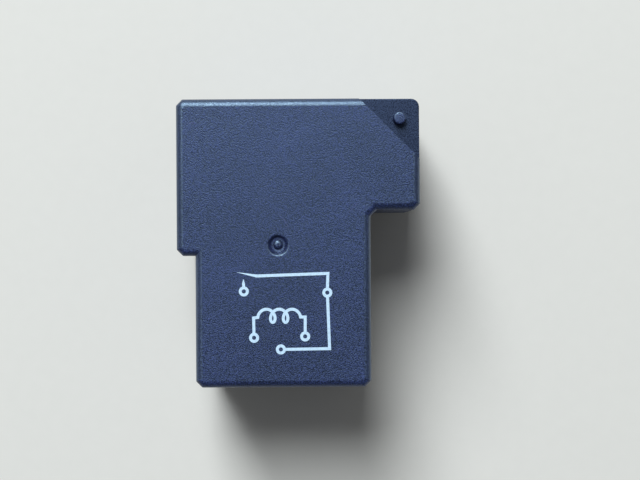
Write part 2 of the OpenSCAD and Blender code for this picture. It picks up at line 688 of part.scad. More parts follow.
// Rivets through the common terminal, the spring's leg and the yoke
module yoke_rivets() color("#c2a25c") yoke_rivet_places() {
    stack = terminal_t + spring_t + yoke_t;
    translate([0, 0, -rivet_head_h]) cylinder(d1 = rivet_d, d2 = rivet_head_d, h = rivet_head_h);
    cylinder(d = rivet_d, h = stack);
    translate([0, 0, stack]) cylinder(d1 = rivet_head_d, d2 = rivet_d, h = rivet_head_h);
}

cover();
base();
sealing_resin();
bobbin();
winding();
lead_solder(-1);  // lead_solder_a
lead_solder(1);  // lead_solder_b
coil_pin(-1);  // coil_pin_a
coil_pin(1);  // coil_pin_b
core();
yoke();
armature();
armature_rivets();
movable_spring();
moving_contact();
fixed_contact();
load_terminal();
common_terminal();
yoke_rivets();
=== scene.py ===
"""Looks of a sealed power relay for a circuit board, built round its packed solids.

The moulded cover, its print, the sealing resin, the coil and the blade spring are modelled here.
Every other piece is the packed solid itself, with the finish of its real material.
"""

import json
import math

import bmesh
import bpy
from bpy.props import FloatProperty, FloatVectorProperty, PointerProperty
from mathutils import Matrix, Vector


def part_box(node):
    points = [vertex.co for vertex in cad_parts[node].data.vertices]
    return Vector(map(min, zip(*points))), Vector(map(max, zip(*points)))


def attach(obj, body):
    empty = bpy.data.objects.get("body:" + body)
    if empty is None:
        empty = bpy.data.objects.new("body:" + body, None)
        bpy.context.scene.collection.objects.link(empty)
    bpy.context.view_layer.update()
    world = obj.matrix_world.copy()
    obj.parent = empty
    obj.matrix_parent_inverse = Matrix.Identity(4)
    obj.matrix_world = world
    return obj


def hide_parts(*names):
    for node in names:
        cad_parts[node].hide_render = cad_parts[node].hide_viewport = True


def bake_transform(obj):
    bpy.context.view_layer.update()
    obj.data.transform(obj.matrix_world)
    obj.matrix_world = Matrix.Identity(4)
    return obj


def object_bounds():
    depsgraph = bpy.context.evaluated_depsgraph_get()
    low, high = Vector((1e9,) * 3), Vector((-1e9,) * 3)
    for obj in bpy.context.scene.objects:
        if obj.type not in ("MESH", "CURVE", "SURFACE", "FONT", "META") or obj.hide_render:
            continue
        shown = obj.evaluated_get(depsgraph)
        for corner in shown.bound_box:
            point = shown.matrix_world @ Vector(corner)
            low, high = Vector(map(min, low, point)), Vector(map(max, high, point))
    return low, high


bl_info = {
    "name": "Sealed Power Relay",
    "version": (1, 0, 0),
    "blender": (4, 5, 0),
    "location": "3D View > Sidebar > Relay",
    "description": "Models and finishes a sealed power relay for a circuit board",
    "category": "Object",
}

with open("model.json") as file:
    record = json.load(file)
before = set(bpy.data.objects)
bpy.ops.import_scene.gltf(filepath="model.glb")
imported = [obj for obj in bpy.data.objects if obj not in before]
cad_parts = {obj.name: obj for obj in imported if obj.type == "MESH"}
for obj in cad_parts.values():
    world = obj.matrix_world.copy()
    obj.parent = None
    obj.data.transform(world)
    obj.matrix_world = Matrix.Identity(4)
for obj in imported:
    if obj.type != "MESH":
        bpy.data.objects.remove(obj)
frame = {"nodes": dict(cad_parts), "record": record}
SOLID_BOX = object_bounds()
COVER_LOW, COVER_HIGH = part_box("cover")
RESIN_LOW, RESIN_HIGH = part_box("sealing_resin")
WINDING_LOW, WINDING_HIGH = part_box("winding")
CORE_LOW, CORE_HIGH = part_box("core")
POST_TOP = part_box("lead_solder_a")[0].z
PINS = {mount["name"]: Vector(mount["pos_m"]) for mount in frame["record"]["mounts"]}
MM = 0.001
UP = Vector((0, 0, 1))
# Metres under which two places are the same
SAME = 1e-6
# Metres of the top face to a pixel of the photograph, and the pixel in the middle of the case
PIXEL = MM / 8.905
MIDDLE_PIXEL = (298.4, 242.8)
PICTURE = (640, 480)
# How far the case is turned in the photograph
ROLL = math.radians(0.35)


def linear(code):
    """The linear colour of an sRGB hex value"""
    parts = [int(code[i : i + 2], 16) / 255 for i in (1, 3, 5)]
    return [p / 12.92 if p <= 0.04045 else ((p + 0.055) / 1.055) ** 2.4 for p in parts]


class CoverSizes(bpy.types.PropertyGroup):
    """Sizes of the moulded cover"""

    wall: FloatProperty(
        name="Wall", description="Thickness of the side walls", default=0.9 * MM, unit="LENGTH"
    )
    top_wall: FloatProperty(
        name="Top wall", description="Thickness of the top", default=1 * MM, unit="LENGTH"
    )
    left_step: FloatProperty(
        name="Left step", description="How far the left wing stands out", default=2.1 * MM, unit="LENGTH"
    )
    left_wing: FloatProperty(
        name="Left wing", description="Length of the left wing from the front",
        default=17.65 * MM, unit="LENGTH",
    )
    right_step: FloatProperty(
        name="Right step", description="How far the right wing stands out", default=5.6 * MM, unit="LENGTH"
    )
    right_wing: FloatProperty(
        name="Right wing", description="Length of the right wing from the front",
        default=12.6 * MM, unit="LENGTH",
    )
    corner_cut: FloatProperty(
        name="Corner cut", description="Leg of the cut at each upright corner",
        default=0.7 * MM, unit="LENGTH",
    )
    corner_soft: FloatProperty(
        name="Soft corner", description="Radius along the edges of the corner cuts",
        default=0.12 * MM, unit="LENGTH",
    )
    edge_radius: FloatProperty(
        name="Top edge", description="Radius of the edge round the top", default=0.75 * MM, unit="LENGTH"
    )
    sharp_edge: FloatProperty(
        name="Recess edge", description="Radius of the edges of the sunken corner",
        default=0.14 * MM, unit="LENGTH",
    )
    recess_leg: FloatProperty(
        name="Recess leg", description="Leg of the sunken corner", default=6.85 * MM, unit="LENGTH"
    )
    recess_depth: FloatProperty(
        name="Recess depth", description="Depth of the sunken corner", default=1.5 * MM, unit="LENGTH"
    )
    recess_round: FloatProperty(
        name="Recess corner", description="Radius of its outer corner", default=0.9 * MM, unit="LENGTH"
    )
    nib_diameter: FloatProperty(
        name="Nib", description="Diameter of the vent nib", default=1.4 * MM, unit="LENGTH"
    )
    nib_height: FloatProperty(
        name="Nib height", description="Height of the vent nib", default=1.3 * MM, unit="LENGTH"
    )
    nib_inset: FloatProperty(
        name="Nib inset", description="Distance from the nib to both outer faces",
        default=2.25 * MM, unit="LENGTH",
    )
    vent_diameter: FloatProperty(
        name="Vent", description="Diameter of the passage under the nib", default=0.6 * MM, unit="LENGTH"
    )
    gate_x: FloatProperty(
        name="Gate across", description="Place of the moulding gate across the case",
        default=-2.3 * MM, unit="LENGTH",
    )
    gate_y: FloatProperty(
        name="Gate along", description="Place of the moulding gate along the case",
        default=-0.25 * MM, unit="LENGTH",
    )
    gate_diameter: FloatProperty(
        name="Gate dimple", description="Diameter of the dimple round the gate",
        default=2.3 * MM, unit="LENGTH",
    )
    gate_slope: FloatProperty(
        name="Gate slope", description="Width of the sloping side of the dimple",
        default=0.3 * MM, unit="LENGTH",
    )
    gate_depth: FloatProperty(
        name="Gate depth", description="Depth of the dimple round the gate",
        default=0.34 * MM, unit="LENGTH",
    )
    stub_diameter: FloatProperty(
        name="Gate stub", description="Diameter of the stub that the gate leaves",
        default=1.1 * MM, unit="LENGTH",
    )
    stub_height: FloatProperty(
        name="Stub height", description="Height of the stub in the dimple", default=0.3 * MM, unit="LENGTH"
    )


class PrintSizes(bpy.types.PropertyGroup):
    """Sizes of the printed wiring diagram and of the scratches"""

    line: FloatProperty(
        name="Line", description="Width of the printed lines", default=0.33 * MM, unit="LENGTH"
    )
    dot: FloatProperty(
        name="Ring", description="Middle radius of the rings for pins", default=0.4 * MM, unit="LENGTH"
    )
    film: FloatProperty(name="Film", description="Thickness of the ink", default=0.02 * MM, unit="LENGTH")
    scratch: FloatProperty(
        name="Scratch", description="Width of the scratches", default=0.07 * MM, unit="LENGTH"
    )


class SealSizes(bpy.types.PropertyGroup):
    """Sizes of the resin where it wets what it touches"""

    creep: FloatProperty(
        name="Creep", description="How far the resin creeps along the walls",
        default=0.15 * MM, unit="LENGTH",
    )
    skirt: FloatProperty(
        name="Skirt", description="Width of the resin's skirt round a pin", default=0.45 * MM, unit="LENGTH"
    )
    collar: FloatProperty(
        name="Collar", description="Diameter of the collar on a coil pin", default=1.4 * MM, unit="LENGTH"
    )
    flat_pin: FloatProperty(
        name="Flat pin", description="Width of a flat pin", default=1.8 * MM, unit="LENGTH"
    )


class CoilSizes(bpy.types.PropertyGroup):
    """Sizes of the wire in the coil"""

    wire: FloatProperty(name="Wire", description="Diameter of the wire", default=0.25 * MM, unit="LENGTH")
    tube_radius: FloatProperty(
        name="Tube", description="Inner radius of the winding", default=3.79 * MM, unit="LENGTH"
    )
    coil_radius: FloatProperty(
        name="Coil", description="Outer radius of the winding", default=5.97 * MM, unit="LENGTH"
    )
    wrap_radius: FloatProperty(
        name="Wrap", description="Radius of the wire's turns round a post", default=0.52 * MM, unit="LENGTH"
    )


class Finish(bpy.types.PropertyGroup):
    """Colours of the relay's materials"""

    case: FloatVectorProperty(
        name="Case", description="Textured plastic of the case", default=linear("#1f2647"), subtype="COLOR"
    )
    # Darker than the case: smoother plastic, and partly painted shade in the sunken corner
    recess: FloatVectorProperty(
        name="Recess", description="Smooth plastic of the sunken corner",
        default=linear("#171e36"), subtype="COLOR",
    )
    # Rubbed plastic along the edges: partly wear, partly a painted highlight on the edges that face the
    # lamp
    edge: FloatVectorProperty(
        name="Edge", description="Rubbed plastic of the edge round the top",
        default=linear("#242a46"), subtype="COLOR",
    )
    # A bluish tint on the plastic's reflections: painted reflection colour of daylight
    sheen: FloatVectorProperty(
        name="Sheen", description="Tint of the sheen on the plastic",
        default=linear("#b6d2fb"), subtype="COLOR",
    )
    glint: FloatVectorProperty(
        name="Glint", description="Tint of the light along the rubbed edge",
        default=linear("#c2e2fd"), subtype="COLOR",
    )
    ink: FloatVectorProperty(
        name="Ink", description="Printing ink on the case", default=linear("#cae6fd"), subtype="COLOR"
    )
    base: FloatVectorProperty(
        name="Base", description="Plastic of the base", default=linear("#23252b"), subtype="COLOR"
    )
    resin: FloatVectorProperty(
        name="Resin", description="Sealing resin", default=linear("#191a1e"), subtype="COLOR"
    )
    bobbin: FloatVectorProperty(
        name="Bobbin", description="Plastic of the bobbin", default=linear("#e4dfd0"), subtype="COLOR"
    )
    enamel: FloatVectorProperty(
        name="Enamel", description="Enamelled copper wire", default=linear("#b4561f"), subtype="COLOR"
    )
    tin: FloatVectorProperty(
        name="Tin", description="Tinned pins and solder", default=linear("#c4c6c8"), subtype="COLOR"
    )
    steel: FloatVectorProperty(
        name="Steel", description="Plated iron of the magnet", default=linear("#b2b4b6"), subtype="COLOR"
    )
    brass: FloatVectorProperty(
        name="Brass", description="Brass of the rivets", default=linear("#c8a35a"), subtype="COLOR"
    )
    copper: FloatVectorProperty(
        name="Copper", description="Copper of the terminals", default=linear("#c47c52"), subtype="COLOR"
    )
    bronze: FloatVectorProperty(
        name="Bronze", description="Copper alloy of the blade spring",
        default=linear("#cf9660"), subtype="COLOR",
    )
    silver: FloatVectorProperty(
        name="Silver", description="Silver alloy of the contacts",
        default=linear("#dedcd4"), subtype="COLOR",
    )


class StageSizes(bpy.types.PropertyGroup):
    """Camera, floor and light"""

    distance: FloatProperty(
        name="Distance", description="Distance from the camera to the case", default=180 * MM, unit="LENGTH"
    )
    window: FloatProperty(
        name="Window", description="Power of the window light", default=13.1, unit="POWER"
    )
    window_width: FloatProperty(
        name="Window width", description="Width of the window light", default=0.36, unit="LENGTH"
    )
    window_height: FloatProperty(
        name="Window height", description="Height of the window light", default=0.7, unit="LENGTH"
    )
    window_place: FloatVectorProperty(
        name="Window place", description="Place of the window light", default=(-0.18, 0.58, 0.83),
        subtype="XYZ", unit="LENGTH",
    )
    daylight: FloatVectorProperty(
        name="Daylight", description="Tint of the window light", default=linear("#f1f9ff"), subtype="COLOR"
    )
    room: FloatProperty(
        name="Room", description="Strength of the light all round", default=0.14, subtype="FACTOR"
    )
    room_tint: FloatVectorProperty(
        name="Room tint", description="Tint of the light all round",
        default=linear("#f3f9ff"), subtype="COLOR",
    )
    floor: FloatVectorProperty(
        name="Floor", description="Pale floor", default=linear("#e6e2da"), subtype="COLOR"
    )
    floor_half: FloatProperty(
        name="Floor half", description="Half the width of the floor", default=1.5, unit="LENGTH"
    )


def add(tree, kind, inputs=None, **settings):
    """Adds a node with its settings, and sets or links its inputs"""
    node = tree.nodes.new(kind)
    for name, value in settings.items():
        setattr(node, name, value)
    for socket, value in (inputs or {}).items():
        if isinstance(value, bpy.types.NodeSocket):
            tree.links.new(value, node.inputs[socket])
        else:
            node.inputs[socket].default_value = value
    return node


def start_material(name, **sockets):
    """A new material with constants on its shader, and its object coordinates"""
    material = bpy.data.materials.new(name)
    material.use_nodes = True
    tree = material.node_tree
    shader = tree.nodes["Principled BSDF"]
    for socket, value in sockets.items():
        shader.inputs[socket.replace("_", " ")].default_value = value
    return material, tree, shader, add(tree, "ShaderNodeTexCoord").outputs["Object"]


def per_mm(size_mm):
    """Scale of a noise pattern whose blotches are about this wide"""
    return 1 / (size_mm * MM)


def shade(rgb, factor):
    """A lighter or darker tone of a colour, with its alpha"""
    return [min(1, c * factor) for c in rgb] + [1]


def moulded_plastic(name, rgb, grain_mm, contrast, depth, roughness, **constants):
    """Moulded plastic: the grain of the mould as bump and speckle, and faint clouds from the melt's flow"""
    cloud_mm, cloud_share, spread = 7, 0.12, 0.12
    material, tree, shader, coords = start_material(name, **constants)
    grain = add(tree, "ShaderNodeTexNoise", {"Vector": coords, "Scale": per_mm(grain_mm), "Detail": 2.0})
    clouds = add(tree, "ShaderNodeTexNoise", {"Vector": coords, "Scale": per_mm(cloud_mm), "Detail": 1.0})
    mixed = add(
        tree, "ShaderNodeMix",
        {0: cloud_share, 2: grain.outputs["Fac"], 3: clouds.outputs["Fac"]}, data_type="FLOAT",
    )
    # Most of the surface is dark, and the peaks of the grain are pale specks
    share = add(tree, "ShaderNodeMapRange", {"Value": mixed.outputs[0], "From Min": 0.42, "From Max": 0.72})
    dark, pale = shade(rgb, 1 - contrast / 2), shade(rgb, 1 + contrast * 1.35)
    tone = add(tree, "ShaderNodeMix", {0: share.outputs["Result"], 6: dark, 7: pale}, data_type="RGBA")
    dullness = add(
        tree, "ShaderNodeMapRange",
        {
            "Value": grain.outputs["Fac"], "From Min": 0.3, "From Max": 0.7,
            "To Min": roughness - spread, "To Max": roughness + spread,
        },
    )
    relief = add(
        tree, "ShaderNodeBump", {"Height": grain.outputs["Fac"], "Strength": 1.0, "Distance": depth}
    )
    tree.links.new(tone.outputs[2], shader.inputs["Base Color"])
    tree.links.new(dullness.outputs["Result"], shader.inputs["Roughness"])
    tree.links.new(relief.outputs["Normal"], shader.inputs["Normal"])
    return material


def worked_metal(name, rgb, roughness, grain_mm, stretch=(1, 1, 1), tinned=None):
    """Rolled, turned or plated metal: fine lines that vary its tone and gloss

    Tinned is the colour of a dipped tip and the height where it ends.
    """
    material, tree, shader, coords = start_material(name, Metallic=1.0)
    drawn = add(tree, "ShaderNodeMapping", {"Vector": coords, "Scale": stretch})
    lines = add(
        tree, "ShaderNodeTexNoise",
        {"Vector": drawn.outputs["Vector"], "Scale": per_mm(grain_mm), "Detail": 3.0},
    )
    share = add(
        tree, "ShaderNodeMapRange", {"Value": lines.outputs["Fac"], "From Min": 0.3, "From Max": 0.7}
    )
    tone = add(
        tree, "ShaderNodeMix",
        {0: share.outputs["Result"], 6: shade(rgb, 0.9), 7: shade(rgb, 1.06)}, data_type="RGBA",
    )
    if tinned:
        tip, height = tinned
        fade = 0.3 * MM
        axes = add(tree, "ShaderNodeSeparateXYZ", {"Vector": coords})
        dipped = add(
            tree, "ShaderNodeMapRange",
            {"Value": axes.outputs["Z"], "From Min": height, "From Max": height + fade},
        )
        tone = add(
            tree, "ShaderNodeMix",
            {0: dipped.outputs["Result"], 6: shade(tip, 0.97), 7: tone.outputs[2]}, data_type="RGBA",
        )
    dullness = add(
        tree, "ShaderNodeMapRange",
        {"Value": lines.outputs["Fac"], "To Min": roughness * 0.7, "To Max": roughness * 1.3},
    )
    relief = add(
        tree, "ShaderNodeBump", {"Height": lines.outputs["Fac"], "Strength": 0.3, "Distance": 0.005 * MM}
    )
    tree.links.new(tone.outputs[2], shader.inputs["Base Color"])
    tree.links.new(dullness.outputs["Result"], shader.inputs["Roughness"])
    tree.links.new(relief.outputs["Normal"], shader.inputs["Normal"])
    return material


def finish_piece(bm, name, materials, body=None, smooth_to=math.radians(30)):
    """Makes an object of a mesh, smooth where its faces meet at small angles, on a body"""
    bmesh.ops.recalc_face_normals(bm, faces=bm.faces[:])
    for edge in bm.edges:
        edge.smooth = edge.calc_face_angle(math.pi) < smooth_to
    for face in bm.faces:
        face.smooth = True
    mesh = bpy.data.meshes.new(name)
    bm.to_mesh(mesh)
    bm.free()
    for material in materials:
        mesh.materials.append(material)
    piece = bpy.data.objects.new(name, mesh)
    bpy.context.scene.collection.objects.link(piece)
    if body:
        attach(piece, body)
    return piece


def dress(material, *nodes):
    """Gives packed solids their finish"""
    for node in nodes:
        slots = frame["nodes"][node].data.materials
        slots.clear()
        slots.append(material)


def verts_of(geom):
    return [g for g in geom if isinstance(g, bmesh.types.BMVert)]


def edges_of(geom):
    return [g for g in geom if isinstance(g, bmesh.types.BMEdge)]


def faces_of(geom):
    return [g for g in geom if isinstance(g, bmesh.types.BMFace)]


def around(verts, links):
    """The edges or faces that meet at some corners, each once"""
    return list(dict.fromkeys(g for v in verts for g in getattr(v, links)))


def upright(edge):
    """Does an edge stand straight up?"""
    return (edge.verts[0].co - edge.verts[1].co).xy.length < SAME / 10


def draw_to(bm, faces, z):
    """Draws flat faces to a height, with none left behind, and returns the faces that close them"""
    edges = dict.fromkeys(e for f in faces for e in f.edges)
    made = bmesh.ops.extrude_face_region(bm, geom=[*faces, *edges])["geom"]
    bmesh.ops.translate(bm, verts=verts_of(made), vec=UP * (z - verts_of(made)[0].co.z))
    return faces_of(made)


def round_off(bm, edges, radius, segments):
    """Cuts or rounds edges"""
    bmesh.ops.bevel(
        bm, geom=edges, offset=radius, offset_type="OFFSET", affect="EDGES",
        segments=segments, profile=0.5, material=-1, clamp_overlap=True,
    )


def turned_forms(bm, face, forms, segments=48):
    """Cuts rings into a flat face and draws a form from each: its centre, stretch, radii and heights"""
    rim = list(face.edges)
    bmesh.ops.delete(bm, geom=[face], context="FACES_ONLY")
    rings = []
    for centre, stretch, profile in forms:
        spot = Matrix.Translation(centre) @ Matrix.Diagonal((*stretch, 1, 1))
        ring = bmesh.ops.create_circle(bm, segments=segments, radius=profile[0][0], matrix=spot)["verts"]
        rings.append(around(ring, "link_edges"))
    bmesh.ops.triangle_fill(bm, use_beauty=True, edges=rim + [e for ring in rings for e in ring])
    for (centre, _, profile), edges in zip(forms, rings):
        for (radius, _), (next_radius, height) in zip(profile, profile[1:]):
            made = bmesh.ops.extrude_edge_only(bm, edges=edges)["geom"]
            verts, edges = verts_of(made), edges_of(made)
            grow = next_radius / radius
            bmesh.ops.scale(bm, vec=(grow, grow, 1), verts=verts, space=Matrix.Translation(-centre))
            bmesh.ops.translate(bm, verts=verts, vec=UP * (centre.z + height - verts[0].co.z))
        bmesh.ops.edgeloop_fill(bm, edges=edges)


def shoulder(radius, height, bend, rise, steps=5):
    """Radii and heights of the rounded end of a turned form"""
    turns = [math.pi / 2 * i / steps for i in range(steps + 1)]
    return [(radius - bend + bend * math.cos(t), height - rise + rise * math.sin(t)) for t in turns]


def case_outline(sizes, inset=0.0):
    """The eight corners of the case seen from above, moved inwards"""
    left, right = COVER_LOW.x + inset, COVER_HIGH.x - inset
    back, front = COVER_LOW.y + inset, COVER_HIGH.y - inset
    narrow_left, narrow_right = left + sizes.left_step, right - sizes.right_step
    left_y = COVER_HIGH.y - sizes.left_wing + inset
    right_y = COVER_HIGH.y - sizes.right_wing + inset
    return [
        Vector(c) for c in (
            (narrow_left, back), (narrow_right, back), (narrow_right, right_y), (right, right_y),
            (right, front), (left, front), (left, left_y), (narrow_left, left_y),
        )
    ]


class RELAY_OT_cover(bpy.types.Operator):
    """Model the moulded cover with its wings, sunken corner, vent nib and gate mark"""

    bl_idname = "relay.cover"
    bl_label = "Cover"

    def execute(self, context):
        sizes, finish = context.scene.relay_cover, context.scene.relay_finish
        low, high = COVER_LOW, COVER_HIGH
        corners = case_outline(sizes)
        recess_z = high.z - sizes.recess_depth
        slant = Vector((high.x - sizes.recess_leg / 2, high.y - sizes.recess_leg / 2, 0))
        outward = Vector((1, 1, 0)).normalized()

        def sunken(point, past=0.0):
            return (point - slant).dot(outward) > past

        def on_slant(edge):
            return all(abs((v.co - slant).dot(outward)) < SAME for v in edge.verts)

        def level_face(z, in_corner):
            level = [
                f for f in bm.faces
                if abs(f.normal.z) > 0.9 and abs(f.calc_center_median().z - z) < SAME
                and sunken(f.calc_center_median(), -sizes.wall) == in_corner
            ]
            return max(level, key=lambda f: f.calc_area())

        # The block up to the sunken corner, then the rest of it up to the top
        bm = bmesh.new()
        bm.faces.new([bm.verts.new((*c, low.z)) for c in corners])
        plate = bm.verts[:] + bm.edges[:] + bm.faces[:]
        bmesh.ops.bisect_plane(bm, geom=plate, plane_co=slant, plane_no=outward)
        tops = draw_to(bm, bm.faces[:], recess_z)
        draw_to(bm, [f for f in tops if not sunken(f.calc_center_median())], high.z)
        bmesh.ops.dissolve_limit(bm, angle_limit=0.01, verts=bm.verts[:], edges=bm.edges[:])

        # Cuts at the upright corners, apart from the sharp one inside the left wing and the rounded one
        def corner_edges(points, reach=SAME):
            return [
                e for e in bm.edges
                if upright(e) and min((e.verts[0].co.xy - p).length for p in points) < reach
            ]

        round_off(bm, corner_edges(corners[:4] + corners[5:7]), sizes.corner_cut, 1)
        round_off(bm, corner_edges(corners[4:5]), sizes.recess_round, 5)

        # Rounded edge round the top, and a crisp one round the sunken corner
        round_off(bm, [e for e in level_face(high.z, False).edges if not on_slant(e)], sizes.edge_radius, 6)
        crisp = [e for e in level_face(recess_z, True).edges if not on_slant(e)]
        crisp += [e for e in level_face(high.z, False).edges if on_slant(e)]
        round_off(bm, crisp, sizes.sharp_edge, 3)

        # A narrow ring round each flat face, so that the curve of its edge doesn't shade it. On the front
        # edge it's also the soft inner side of the painted highlight band, laid in the rubbed plastic
        rim_width = 0.1 * MM
        level = [level_face(high.z, False), level_face(recess_z, True)]
        rims = bmesh.ops.inset_individual(
            bm, faces=level, thickness=rim_width, use_even_offset=True
        )["faces"]

        # Cavity, with a lower ceiling under the sunken corner
        bottom = level_face(low.z, False)
        bmesh.ops.inset_region(bm, faces=[bottom], thickness=sizes.wall, use_even_offset=True)
        halves = bmesh.ops.bisect_plane(
            bm, geom=[bottom, *bottom.edges, *bottom.verts],
            plane_co=slant - outward * sizes.wall, plane_no=outward,
        )["geom"]
        ceilings = draw_to(bm, faces_of(halves), recess_z - sizes.top_wall)
        deep = [f for f in ceilings if not sunken(f.calc_center_median(), -sizes.wall)]
        draw_to(bm, deep, high.z - sizes.top_wall)
        bmesh.ops.recalc_face_normals(bm, faces=bm.faces[:])

        # Dimple of the moulding gate: a soft rim, a sloping side, and a flat bottom round the domed stub,
        # which lies a little to the front
        round_form = (1, 1)
        gate, stub, sink = sizes.gate_diameter / 2, sizes.stub_diameter / 2, sizes.gate_depth
        foot = gate - sizes.gate_slope
        rim_mm = ((0.2, 0), (0.08, 0), (0.02, -0.01), (-0.04, -0.04), (-0.1, -0.09))
        foot_mm = ((0.05, 0.09), (-0.01, 0.04), (-0.08, 0.01), (-0.15, 0))
        dimple = [(gate + r * MM, h * MM) for r, h in rim_mm]
        dimple += [(foot + r * MM, h * MM - sink) for r, h in foot_mm]
        dimple.append((stub + 0.04 * MM, -sink))
        dimple += [(r, h - sink) for r, h in shoulder(stub, sizes.stub_height, 0.38 * MM, 0.3 * MM, 7)]
        gate_spot = Vector((sizes.gate_x, sizes.gate_y, high.z))
        turned_forms(bm, level_face(high.z, False), [(gate_spot, round_form, dimple)])
        outside, lean = high.z - sizes.top_wall / 2, 0.1 * MM
        bowl = [
            v for v in bm.verts
            if v.co.z > outside and (v.co - gate_spot).xy.length < foot + 0.06 * MM
        ]
        bmesh.ops.translate(bm, verts=bowl, vec=(0, lean, 0))

        # The vent nib, and the passage that it closes
        nib_spot = Vector((high.x - sizes.nib_inset, high.y - sizes.nib_inset, recess_z))
        nib, tall = sizes.nib_diameter / 2, sizes.nib_height
        knob = [(nib + 0.3 * MM, 0), (nib + 0.04 * MM, 0), (nib, 0.04 * MM)]
        knob += shoulder(nib - 0.01 * MM, tall, 0.16 * MM, 0.16 * MM)
        turned_forms(bm, level_face(recess_z, True), [(nib_spot, round_form, knob)])
        vent = [(sizes.vent_diameter / 2, 0), (sizes.vent_diameter / 2, sizes.top_wall + tall / 2)]
        ceiling = level_face(recess_z - sizes.top_wall, True)
        turned_forms(bm, ceiling, [(nib_spot - UP * sizes.top_wall, round_form, vent)], 24)

        # Softened edges along the corner cuts, on the outside
        near = corner_edges(corners, sizes.wall)
        soft = [e for e in near if math.radians(40) < e.calc_face_angle(0) < math.radians(50)]
        round_off(bm, soft, sizes.corner_soft, 2)

        # Flame retardant polyester from a sand blasted mould: a dull sheen, and a grain that sparkles a
        # little. The grain is drawn as coarse as a pixel of the photograph, and the real one may be finer
        grain_mm = 0.12
        # The sheen's bluish tint is painted reflection colour of daylight
        gloss = {"IOR": 1.75, "Specular_Tint": shade(finish.sheen, 1)}
        case = moulded_plastic(
            "Dark polyester, sand textured", finish.case, grain_mm, 1.5, 0.043 * MM, 0.42, **gloss
        )
        # The same plastic from a polished part of the mould: smoother, so it takes less light from the
        # side, and painted darker than the case as shade in the sunken corner
        smooth = moulded_plastic(
            "Dark polyester, smooth moulded", finish.recess, grain_mm, 0.6, 0.008 * MM, 0.3, **gloss
        )
        # The same plastic where handling has rubbed its edges: greyer, glossier and tinted to glint, laid
        # as a painted highlight band on the edges that face the lamp
        gloss = {"IOR": 1.75, "Specular_IOR_Level": 0.9, "Specular_Tint": shade(finish.glint, 1)}
        edge = moulded_plastic(
            "Dark polyester, rubbed edge", finish.edge, grain_mm, 1.1, 0.03 * MM, 0.41, **gloss
        )
        bmesh.ops.remove_doubles(bm, verts=bm.verts[:], dist=SAME / 100)

        # The floor of the sunken corner is smooth, and painted darker as shade. Rubbed plastic, which
        # paints the highlight band, goes on the curved edges that face the front and the sides, toward the
        # lamp, apart from those by the slant and in the bowl of the dimple; the edges that face away stay
        # plain and darker
        slack, lip, foot_band, by_slant = 0.02 * MM, 0.11 * MM, 0.2 * MM, 0.3 * MM
        steep, flat, toward_lamp = 0.05, 0.999, -0.05
        for f in bm.faces:
            at = f.calc_center_median()
            past = (at - slant).dot(outward)
            # The inner rim along the front edge takes the painted highlight too
            highlight_rim = f in rims and at.y > high.y - sizes.edge_radius - 2 * rim_width
            lit_curve = steep < f.normal.z < flat and f.normal.y > toward_lamp
            in_bowl = stub < (at - gate_spot).xy.length < gate - lip
            if past > slack and recess_z - slack < at.z < recess_z + foot_band:
                f.material_index = 1
            elif at.z > recess_z and (lit_curve or highlight_rim) and abs(past) > by_slant and not in_bowl:
                f.material_index = 2
        cover = finish_piece(bm, "relay_cover", [case, smooth, edge], "frame", math.radians(25))
        cover.modifiers.new("Flat faces stay flat", "WEIGHTED_NORMAL").keep_sharp = True
        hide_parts("cover")
        return {"FINISHED"}


def picture_middle():
    """The place on the top face that the middle of the photograph shows"""
    across, down = PICTURE[0] / 2 - MIDDLE_PIXEL[0], PICTURE[1] / 2 - MIDDLE_PIXEL[1]
    return Vector((across * PIXEL, -down * PIXEL, COVER_HIGH.z))


def on_top(px, py, lift=0.0):
    """The place on the top face that a pixel of the photograph shows"""
    offset = Vector(((px - PICTURE[0] / 2) * PIXEL, (PICTURE[1] / 2 - py) * PIXEL, lift))
    return picture_middle() + Matrix.Rotation(-ROLL, 3, "Z") @ offset


def stroke(bm, path, width, tip=0):
    """Lays a flat band along a path, by drawing its first cross edge on. It widens over tip points"""
    least_share, sharpest_bend = 0.06, 0.5
    last = len(path) - 1
    edge = None
    for i, point in enumerate(path):
        before = path[max(i, 1)] - path[max(i, 1) - 1]
        after = path[min(i, last - 1) + 1] - path[min(i, last - 1)]
        along = (before.normalized() + after.normalized()).normalized()
        share = max(min(1, i / (tip - 1)), least_share) if tip else 1
        side = UP.cross(along) * share * width / 2 / max(along.dot(after.normalized()), sharpest_bend)
        if edge:
            edge = edges_of(bmesh.ops.extrude_edge_only(bm, edges=[edge])["geom"])[0]
            near, far = sorted(edge.verts, key=lambda v: (v.co - near.co).length)
        else:
            near, far = bm.verts.new(point), bm.verts.new(point)
            edge = bm.edges.new((near, far))
        near.co, far.co = point + side, point - side


def ring(bm, centre, radius, width, steps=32):
    """Lays a flat ring by spinning a short edge"""
    ends = [bm.verts.new(centre + Vector((radius + s * width / 2, 0, 0))) for s in (-1, 1)]
    edge = bm.edges.new(ends)
    bmesh.ops.spin(
        bm, geom=[*ends, edge], cent=centre, axis=UP, angle=math.tau, steps=steps, use_merge=True
    )


def thicken(bm, below, above):
    """Gives flat bands a thickness, from below the surface to above it"""
    for face in bm.faces:
        if face.normal.z < 0:
            face.normal_flip()
    bmesh.ops.translate(bm, verts=bm.verts[:], vec=UP * -below)
    made = bmesh.ops.extrude_face_region(bm, geom=bm.faces[:], use_keep_orig=True)["geom"]
    bmesh.ops.translate(bm, verts=verts_of(made), vec=UP * (above + below))


